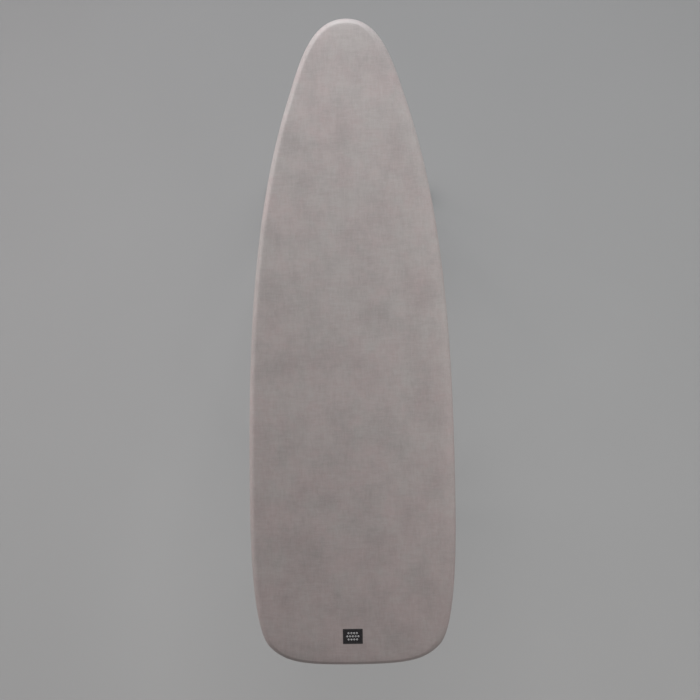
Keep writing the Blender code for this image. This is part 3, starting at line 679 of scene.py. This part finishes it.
def make_label():
    """Woven label sewn to the cover near its square end, with a plain pattern of no meaning."""
    width, depth = LABEL_HIGH.x - LABEL_LOW.x, LABEL_HIGH.y - LABEL_LOW.y
    face = TOP + 0.15 * MM
    rows = [rounded_rectangle(width, depth, 1.2 * MM, TOP - 0.5 * MM),
            rounded_rectangle(width, depth, 1.2 * MM, face - 0.2 * MM),
            rounded_rectangle(width - 0.4 * MM, depth - 0.4 * MM, 1.0 * MM, face)]
    mesh = skin("label", rows, capped=True)
    sharpen(mesh, 30)
    label = add_piece("label", mesh, MATERIALS["label_fabric"], "board", ["cover_label"])

    border = rounded_rectangle(width - 3.2 * MM, depth - 3.2 * MM, 1.0 * MM, face, 3)
    corners = [Vector(point) for point in border] + [Vector(border[0])]
    stitches = []
    for start, end in zip(corners, corners[1:]):
        count = max(1, round((end - start).length / (2.4 * MM)))
        for k in range(count):
            stitches.append(stitch(start.lerp(end, (k + 0.12) / count), start.lerp(end, (k + 0.88) / count),
                                   (0, 0, 1), 0.22 * MM))
    sewn = add_piece("label_stitches", join_meshes("label_stitches", stitches), DARK_THREAD,
                     "board")
    return label, sewn, make_label_pattern(face)


LATTICE_STEP = (5.8 * MM, 6.6 * MM)        # between lozenges, across and along
LOZENGE_SIZE = (4.4 * MM, 5.4 * MM)


def lozenge(x, y, face):
    """A lozenge of upright satin stitches."""
    wide, tall = LOZENGE_SIZE
    count = round(wide / (0.42 * MM))
    made = []
    for k in range(count + 1):
        aside = 2 * k / count - 1
        reach = (0.12 + 0.88 * (1 - abs(aside))) * tall / 2
        at = x + aside * wide / 2
        made.append(stitch((at, y - reach, face), (at, y + reach, face), (0, 0, 1), 0.24 * MM))
    return made


def make_label_pattern(face):
    """A lattice of lozenges: a plain woven pattern of no meaning."""
    made = []
    for row, count in ((1, 4), (0, 5), (-1, 4)):
        for k in range(count):
            x = LABEL_X + (k - (count - 1) / 2) * LATTICE_STEP[0]
            made += lozenge(x, LABEL_Y + row * LATTICE_STEP[1], face)
    return add_piece("label_pattern", join_meshes("label_pattern", made), LABEL_THREAD,
                     "board")


# ---------------------------------------------------------------- the board's metal

def make_mesh_top():
    """Expanded steel mesh: diamonds cut and pulled open, each strand tilted a little."""
    long_way, short_way = 18 * MM, 8 * MM
    hole = 0.74
    tilt = 0.45 * MM
    low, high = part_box("mesh_top")
    margin = inset_loop(13 * MM, 0, 5)[:, :2]
    points = []
    faces = []
    seen = {}

    def corner(x, y):
        """The number of a corner that neighbouring diamonds share."""
        key = (round(x / long_way * 2), round(y / short_way * 2))
        if key not in seen:
            seen[key] = len(points)
            points.append((x, y, high.z - 0.1 * MM))
        return seen[key]

    for row in range(math.floor(low.y / short_way * 2), math.ceil(high.y / short_way * 2) + 1):
        y = row * short_way / 2
        for column in range(math.floor(low.x / long_way) - 1, math.ceil(high.x / long_way) + 2):
            x = (column + 0.5 * (row % 2)) * long_way
            if not inside(x, y, margin):
                continue
            outer = [corner(x + dx * long_way / 2, y + dy * short_way / 2)
                     for dx, dy in ((1, 0), (0, 1), (-1, 0), (0, -1))]
            start = len(points)
            for dx, dy in ((1, 0), (0, 1), (-1, 0), (0, -1)):
                points.append((x + hole * dx * long_way / 2, y + hole * dy * short_way / 2,
                               high.z - 0.1 * MM - tilt * (0.5 - 0.5 * dy)))
            for k in range(4):
                j = (k + 1) % 4
                faces.append((outer[k], outer[j], start + j, start + k))
    mesh = mesh_from("expanded_mesh", points, faces)
    made = add_piece("expanded_mesh", mesh, MATERIALS["mesh_paint"], "board", ["mesh_top"])
    solid = made.modifiers.new("strands", "SOLIDIFY")
    solid.thickness = high.z - low.z
    solid.offset = -1
    return made


def inside(x, y, loop):
    """Whether a place is inside a closed loop."""
    ahead = np.roll(loop, -1, axis=0)
    crosses = (loop[:, 1] > y) != (ahead[:, 1] > y)
    rise = ahead[:, 1] - loop[:, 1]
    rise[rise == 0] = 1
    at = loop[:, 0] + (y - loop[:, 1]) * (ahead[:, 0] - loop[:, 0]) / rise
    return np.count_nonzero(crosses & (x < at)) % 2 == 1


EASED = 0.3 * MM


def finish_cad_node(name, material):
    """A CAD node that stays: merged, with eased edges and its finish."""
    node = NODES[name]
    node.data.materials[0] = material
    weld = node.modifiers.new("weld", "WELD")
    weld.merge_threshold = 0.001 * MM
    bevel = node.modifiers.new("eased", "BEVEL")
    bevel.width = EASED
    bevel.segments = 2
    bevel.limit_method = "ANGLE"
    bevel.angle_limit = math.radians(38)
    bevel.harden_normals = True
    bevel.miter_outer = "MITER_ARC"
    node.data.shade_smooth()


def make_brace_welds():
    """Weld beads where each brace meets the rim."""
    beads = []
    for place in ("front", "middle", "rear"):
        low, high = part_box(f"brace_{place}")
        for x in (low.x, high.x):
            for y in (low.y - 0.3 * MM, high.y + 0.3 * MM):
                path = [(x, y, z) for z in np.linspace(low.z + 1 * MM, high.z - 2.5 * MM, 9)]
                beads.append(weld_bead("bead", path))
    return add_piece("brace_welds", join_meshes("brace_welds", beads), MATERIALS["frame_paint"],
                     "board")


# ---------------------------------------------------------------- the stand

TUBE_RADIUS = 11 * MM
TUBE_WALL = 1 * MM
TUBE_END = 14 * MM


def leg_axes(leg):
    """A leg's top axis and foot axis, as points on the centreline."""
    low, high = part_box(f"{leg}_foot_bar")
    foot = Vector((0, (low.y + high.y) / 2, (low.z + high.z) / 2))
    if leg == "rear":
        return PIVOT, foot
    low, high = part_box("slide_bar")
    return Vector((0, (low.y + high.y) / 2, (low.z + high.z) / 2)), foot


def open_tube(name, start, along, length, radius):
    """A round tube, open at both ends."""
    bore = radius - TUBE_WALL
    profile = ((0, bore), (0, radius), (length, radius), (length, bore))
    return turned(name, start, along, profile, joined=True)


def make_leg(leg):
    """Smooth tubes, coped on their foot bar and welded to it and to the leg's brace."""
    body = f"{leg}_leg"
    paint = MATERIALS["leg_paint"]
    top, foot = leg_axes(leg)
    along = (top - foot).normalized()
    across = Vector((1, 0, 0))
    square = along.cross(across)
    bar_low, bar_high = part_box(f"{leg}_foot_bar")
    bar_radius = (bar_high.z - bar_low.z) / 2
    end = (top - foot).length + TUBE_END
    welds = []

    def around(x, radius, angle):
        """A place round a leg tube, at the level of the foot bar's axis."""
        return foot + across * (x + radius * math.cos(angle)) + square * radius * math.sin(angle)

    def coping(radius, angle):
        """From the foot bar's axis, along the tube, to where the bar's surface is met."""
        return math.sqrt(max(0.0, bar_radius ** 2 - (radius * math.sin(angle)) ** 2))

    for side in ("left", "right"):
        low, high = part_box(f"{body}_tube_{side}")
        x = (low.x + high.x) / 2
        angles = np.linspace(0, 2 * math.pi, 48, endpoint=False)
        rows = []
        for radius in (TUBE_RADIUS - TUBE_WALL, TUBE_RADIUS):
            ring = [around(x, radius, a) for a in angles]
            loops = [[point + along * coping(radius, a) for point, a in zip(ring, angles)]]
            for run in np.linspace(3 * bar_radius, end, 9):
                loops.append([point + along * run for point in ring])
            rows += loops[::-1] if radius < TUBE_RADIUS else loops
        mesh = skin("tube", rows, joined=True)
        sharpen(mesh)
        add_piece(f"{body}_tube_{side}_round", mesh, paint, body, [f"{body}_tube_{side}"])
        reach = TUBE_RADIUS + 0.5 * MM
        bead = [around(x, reach, a) + along * (coping(reach, a) + 0.5 * MM)
                for a in np.linspace(0, 2 * math.pi, 60, endpoint=False)]
        welds.append(weld_bead("bead", bead, 1.5 * MM, closed=True))
    half = bar_high.x
    bar = open_tube("foot_bar", foot - across * half, across, 2 * half, bar_radius)
    add_piece(f"{leg}_foot_bar_round", bar, paint, body, [f"{leg}_foot_bar"])

    low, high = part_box(f"{body}_brace")
    middle, radius = (low + high) / 2, (high.z - low.z) / 2
    brace = open_tube("brace", middle - across * high.x, across, 2 * high.x, radius)
    add_piece(f"{body}_brace_round", brace, paint, body, [f"{body}_brace"])
    for side in (-1, 1):
        loop = circle(middle + side * across * (high.x - 0.2 * MM), across, radius + 0.4 * MM, 40)
        welds.append(weld_bead("bead", loop, 1.2 * MM, closed=True))
    add_piece(f"{body}_welds", join_meshes("welds", welds), paint, body)


def make_foot_cap(leg, side):
    """Moulded cap: a beaded mouth, grooves round its skirt, a rounded end and a flat where it stands."""
    name = f"{leg}_foot_cap_{side}"
    low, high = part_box(name)
    bar_low, bar_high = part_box(f"{leg}_foot_bar")
    way = 1 if side == "right" else -1
    mouth, end = (low.x, high.x) if way > 0 else (high.x, low.x)
    centre = Vector((mouth, (bar_low.y + bar_high.y) / 2, (bar_low.z + bar_high.z) / 2))
    length = abs(end - mouth)
    outer = high.y - centre.y
    bore = (bar_high.z - bar_low.z) / 2 + 0.3 * MM
    waist = outer - 0.7 * MM
    rounding = 4.6 * MM
    profile = [(0, bore), (0, outer - 0.6 * MM), (0.7 * MM, outer), (2.6 * MM, outer), (3.2 * MM, waist)]
    for groove in range(4):
        start = (5.0 + 3.4 * groove) * MM
        profile += [(start, waist), (start + 0.5 * MM, outer), (start + 1.9 * MM, outer),
                    (start + 2.4 * MM, waist)]
    profile.append((length - 5.2 * MM, outer - 0.5 * MM))
    for angle in np.radians((20, 45, 70, 85)):
        profile.append((length - rounding * (1 - math.sin(angle)),
                        outer - rounding * (1 - math.cos(angle)) - 0.5 * MM))
    profile += [(length, 3 * MM), (length - 1.2 * MM, 2.4 * MM), (length - 1.2 * MM, 0.1 * MM)]
    floor = [(length - 4 * MM, 0.1 * MM), (length - 4 * MM, bore)]
    mesh = turned("foot_cap", centre, (way, 0, 0), profile + floor, joined=True)
    for vert in mesh.vertices:
        vert.co.z = max(vert.co.z, 0.0)
    return add_piece(f"{name}_moulded", mesh, MATERIALS["black_plastic"], f"{leg}_leg",
                     [name])


def make_bar(node, body, material):
    """A solid round bar along X with eased ends."""
    low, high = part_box(node)
    centre, radius, half = (low + high) / 2, (high.z - low.z) / 2, (high.x - low.x) / 2
    ease = 0.8 * MM
    return add_piece(f"{node}_round", turned(node, centre - Vector((half, 0, 0)), (1, 0, 0), (
        (0, radius - ease), (ease, radius), (2 * half - ease, radius), (2 * half, radius - ease),
    )), material, body, [node])


# ---------------------------------------------------------------- the release lever

def make_grip():
    """Moulded paddle grip with finger ridges."""
    low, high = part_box("lever_grip")
    centre = (low + high) / 2
    wide, tall = (high.y - low.y) / 2, (high.z - low.z) / 2
    rows = []
    for share in np.linspace(0, 1, 33):
        swell = math.sin(math.pi * (0.16 + 0.84 * share ** 0.85)) if share < 1 else 0.0
        nose = math.sqrt(max(0.0, 1 - max(0.0, (share - 0.86) / 0.14) ** 2))
        tail = min(1.0, 0.72 + 6 * share)
        ridge = 1 - 0.05 * (0.5 + 0.5 * math.cos(2 * math.pi * share * 6)) * (0.15 < share < 0.85)
        half_y = wide * (0.52 + 0.48 * swell ** 0.7 if swell > 0 else 0.52) * max(nose, 0.35) * tail
        half_z = tall * ridge * max(nose, 0.4) * tail
        loop = []
        for a in np.linspace(0, 2 * math.pi, 40, endpoint=False):
            c, s = math.cos(a), math.sin(a)
            loop.append((low.x + share * (high.x - low.x),
                         centre.y + half_y * math.copysign(abs(c) ** 0.85, c),
                         centre.z + half_z * math.copysign(abs(s) ** 0.85, s)))
        rows.append(loop)
    mesh = skin("grip", rows, capped=True)
    sharpen(mesh, 50)
    return add_piece("lever_grip_moulded", mesh, MATERIALS["black_plastic"], "release_lever",
                     ["lever_grip"])


def make_spring():
    """Return spring with closed ends."""
    low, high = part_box("lever_spring")
    centre = (low + high) / 2
    wire, turns, steps = 0.6 * MM, 7, 24
    radius = (high.x - low.x) / 2 - wire
    path = []
    for step in range(turns * steps + 1):
        share = step / (turns * steps)
        closed = share - 0.055 * math.sin(2 * math.pi * share)
        angle = 2 * math.pi * turns * share
        path.append((centre.x + radius * math.cos(angle), centre.y + radius * math.sin(angle),
                     low.z + wire + closed * (high.z - low.z - 2 * wire)))
    spring = add_piece("return_spring", pipe("spring", path, wire, 10), MATERIALS["spring_steel"],
                       "board", ["lever_spring"])
    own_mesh(spring)
    return spring


# ---------------------------------------------------------------- the studio

IMAGE_METRES = 1.4595                     # width of the view, at the ironing surface
CAMERA_RISE = 4.2                         # camera above the ironing surface
SENSOR = 36.0
ROLL = math.radians(0.86)
CAMERA_ASIDE = (-0.0009, -0.0178)         # from above the board's middle
FLOOR_HALF = 25
BOARD_MIDDLE = (0, 0.2, 0.92)
WHITE = (1.0, 1.0, 1.0)
WORLD_STRENGTH = 0.343
LIGHTS = (                                # name, place, target, size, watts, colour
    ("nose_key", (-0.15, 1.80, 1.42), (0, 0.5, 0.92), (1.8, 0.7), 27, (0.89, 0.94, 1.0)),
    ("nose_high", (0, 2.2, 3.0), BOARD_MIDDLE, (1.0, 1.0), 12.5, WHITE),
    ("left_line", (-1.6, 0.95, 1.1), BOARD_MIDDLE, (1.4, 0.3), 10, (1.0, 0.90, 0.90)),
    ("left_line_low", (-1.4, -0.15, 1.06), (-0.2, -0.1, 0.9), (1.0, 0.2), 4.2, WHITE),
    ("left_fill", (-1.1, 1.1, 1.6), BOARD_MIDDLE, (0.6, 0.6), 5.5, WHITE),
    ("right_fill", (0.78, 0.17, 1.5), (0.45, 0.17, 0.92), (1.6, 0.15), 5.0, WHITE),
)


def make_camera():
    """Straight down, turned nearly a degree, as the board is pictured."""
    data = bpy.data.cameras.new("camera")
    data.sensor_width = SENSOR
    data.lens = SENSOR * CAMERA_RISE / IMAGE_METRES
    camera = bpy.data.objects.new("camera", data)
    bpy.context.scene.collection.objects.link(camera)
    camera.location = (*CAMERA_ASIDE, TOP + CAMERA_RISE)
    camera.rotation_euler = (0, 0, -ROLL)
    bpy.context.scene.camera = camera


def area_light(name, place, target, size, power, colour):
    """A rectangular light that faces its target."""
    data = bpy.data.lights.new(name, "AREA")
    data.shape = "RECTANGLE"
    data.size, data.size_y = size
    data.energy = power
    data.color = colour
    light = bpy.data.objects.new(name, data)
    bpy.context.scene.collection.objects.link(light)
    light.location = place
    light.rotation_euler = (Vector(target) - Vector(place)).to_track_quat("-Z", "Y").to_euler()
    return light


def make_studio():
    """Even grey floor. Light comes mostly from beyond the nose, with lines of it along the left edge
    and a soft one over the right."""
    half = FLOOR_HALF
    corners = [(-half, -half, 0), (half, -half, 0), (half, half, 0), (-half, half, 0)]
    floor = bpy.data.meshes.new("studio_floor")
    floor.from_pydata(corners, [], [(0, 1, 2, 3)])
    ground = bpy.data.objects.new("studio_floor", floor)
    bpy.context.scene.collection.objects.link(ground)
    floor.materials.append(studio_floor())
    for light in LIGHTS:
        area_light(*light)
    world = bpy.data.worlds.new("studio")
    world.use_nodes = True
    background = world.node_tree.nodes["Background"]
    background.inputs["Color"].default_value = (*WHITE, 1)
    background.inputs["Strength"].default_value = WORLD_STRENGTH
    bpy.context.scene.world = world
    bpy.context.scene.view_settings.view_transform = "Standard"


# ---------------------------------------------------------------- put together

make_camera()
make_studio()
cover = make_cover()
pad = make_pad()
drawcord = make_drawcord()
stitches = make_casing_stitches()
label_pieces = make_label()
make_mesh_top()
make_brace_welds()
for leg in ("rear", "front"):
    make_leg(leg)
    for side in ("left", "right"):
        make_foot_cap(leg, side)
make_bar("pivot_axle", "board", MATERIALS["zinc"])
make_bar("slide_bar", "front_leg", MATERIALS["zinc"])
make_grip()
make_spring()
for name, node in NODES.items():
    if not node.hide_render:
        rail = name in ("rail_left", "rail_right")
        finish_cad_node(name, RAIL_PAINT if rail else MATERIALS[SLOT_OF[name]])
